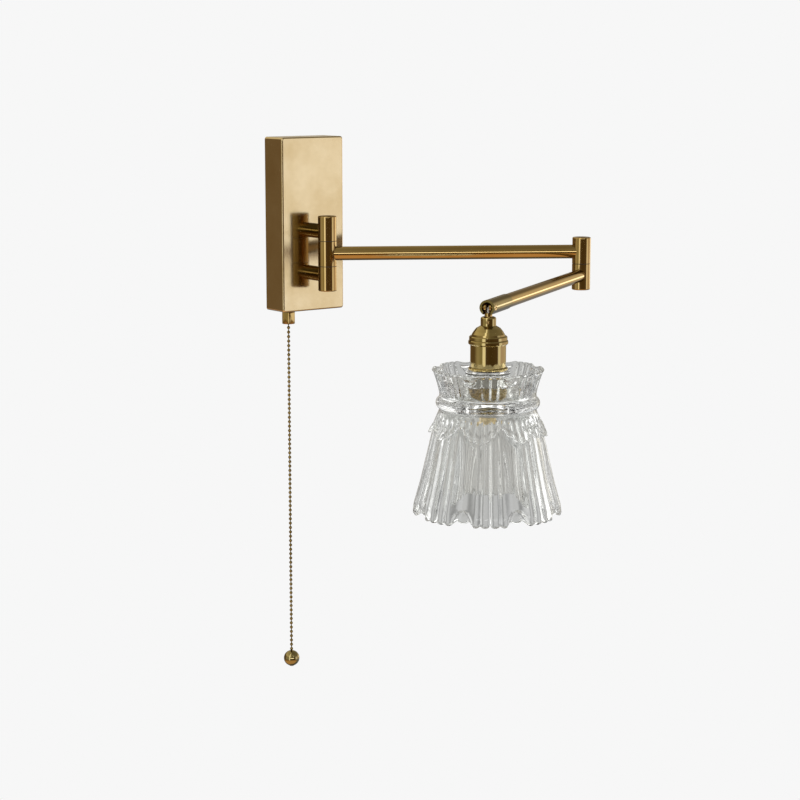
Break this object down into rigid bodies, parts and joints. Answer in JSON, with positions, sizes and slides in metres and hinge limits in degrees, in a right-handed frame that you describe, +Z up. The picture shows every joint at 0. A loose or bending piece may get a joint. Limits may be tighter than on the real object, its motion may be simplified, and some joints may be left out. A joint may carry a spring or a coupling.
{
  "type": "swing arm wall lamp",
  "caption": "Swing-arm wall lamp: brass backplate, hinged arms, tilting lamp holder, pleated glass bell shade and a bead pull chain with a ball.",
  "frame": {"origin": "centre of the two wall screws, on the wall face of the bracket", "axes": "+X to the right seen from the room, +Y into the wall, +Z up"},
  "size_m": [0.3116, 0.3983, 0.5343],
  "materials": {
    "brushed_brass": "dark brass plate, fine upright brushing, lacquered",
    "satin_brass": "dark antique brass, satin",
    "tube_brass": "dark antique brass tube, half polished along its length",
    "holder_brass": "dark antique brass, turned and lacquered",
    "screw_brass": "bright brass screws",
    "chain_brass": "aged brass beads",
    "contact_brass": "bare bright brass",
    "zinc_steel": "zinc plated steel",
    "nylon": "dark nylon",
    "white_plastic": "white moulded plastic",
    "black_plastic": "black moulded plastic",
    "lead_jacket": "pale flexible jacket",
    "porcelain": "white glazed, stands in for porcelain",
    "gasket_rubber": "thin black sealing ring",
    "pressed_glass": "clear pressed glass, pleated and ribbed"
  },
  "bodies": {
    "root": {"wall_bracket": "zinc_steel", "backplate_cover": "brushed_brass", "cover_screws": "screw_brass", "stub_upper": "satin_brass", "stub_lower": "satin_brass", "stub_washers": "zinc_steel", "stub_nuts": "zinc_steel", "post_knuckle_top": "satin_brass", "post_knuckle_bottom": "satin_brass", "post_caps": "satin_brass", "post_pin": "zinc_steel", "post_washers": "nylon", "terminal_block": "white_plastic", "terminal_screws": "zinc_steel", "earth_screw": "screw_brass", "switch_body": "black_plastic", "switch_neck": "screw_brass", "switch_nut": "zinc_steel", "chain_bushing": "satin_brass", "plate_lead": "lead_jacket", "switch_lead": "lead_jacket"},
    "arm_1": {"post_knuckle_middle": "satin_brass", "arm_1_tube": "tube_brass", "elbow_knuckle_upper": "satin_brass", "elbow_cap_top": "satin_brass", "elbow_washer": "nylon", "elbow_pin": "zinc_steel", "elbow_clip": "zinc_steel", "arm_1_lead": "lead_jacket"},
    "arm_2": {"elbow_knuckle_lower": "satin_brass", "elbow_cap_bottom": "satin_brass", "arm_2_tube": "tube_brass", "tilt_sleeve": "tube_brass", "tilt_screws": "screw_brass", "arm_2_lead": "lead_jacket"},
    "lamp": {"tilt_tongue": "tube_brass", "neck_grub_screw": "screw_brass", "holder_cap": "holder_brass", "holder_ring": "holder_brass", "holder_shell": "holder_brass", "socket_core": "porcelain", "socket_terminals": "screw_brass", "screw_shell": "contact_brass", "centre_contact": "contact_brass", "gasket_upper": "gasket_rubber", "gasket_lower": "gasket_rubber", "shade_ring": "holder_brass", "glass_shade": "pressed_glass", "lamp_lead": "lead_jacket"},
    "pull": {"pull_rod": "zinc_steel", "pull_chain": "chain_brass", "chain_ball": "chain_brass"}
  },
  "joints": [
    {"name": "wall_swing", "type": "hinge", "parent": "root", "child": "arm_1", "pos_m": [0, -0.054, -0.027], "axis": [0, 0, 1], "range_deg": [-148, 32]},
    {"name": "elbow_swing", "type": "hinge", "parent": "arm_1", "child": "arm_2", "pos_m": [0.21201, -0.18648, -0.0504], "axis": [0, 0, -1], "range_deg": [-261.26, 28.74]},
    {"name": "lamp_tilt", "type": "hinge", "parent": "arm_2", "child": "lamp", "pos_m": [-0.02611, -0.33378, -0.0504], "axis": [-0.5261, 0.8504, 0], "range_deg": [-10, 90]},
    {"name": "pull", "type": "slide", "parent": "root", "child": "pull", "axis": [0, 0, -1], "range_m": [0, 0.008], "stiffness_N_per_m": 300, "springref_m": -0.01}
  ]
}
